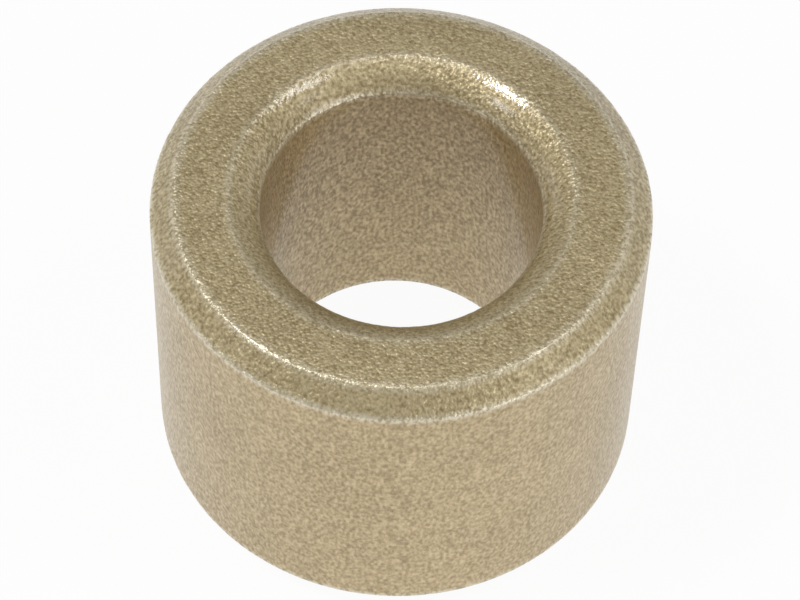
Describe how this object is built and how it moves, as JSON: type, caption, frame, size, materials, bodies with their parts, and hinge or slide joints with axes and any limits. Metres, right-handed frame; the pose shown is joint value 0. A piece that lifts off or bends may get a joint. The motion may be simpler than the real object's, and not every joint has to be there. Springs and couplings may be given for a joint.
{
  "type": "sintered bronze sleeve bushing",
  "caption": "Short cylindrical sleeve bushing of porous sintered bronze, chamfered on its outer rims and flared at both mouths of the bore.",
  "frame": {"origin": "centre of the lower end face, on the axis of the bore", "axes": "+Z along the bore, up out of its upper mouth; X and Y are any two radii, since the sleeve is round"},
  "size_m": [0.016, 0.016, 0.0125],
  "materials": {
    "sintered_bronze": "porous sintered tin bronze as sized, fine-grained, soaked with oil"
  },
  "bodies": {
    "root": {"bushing": "sintered_bronze"}
  },
  "joints": []
}
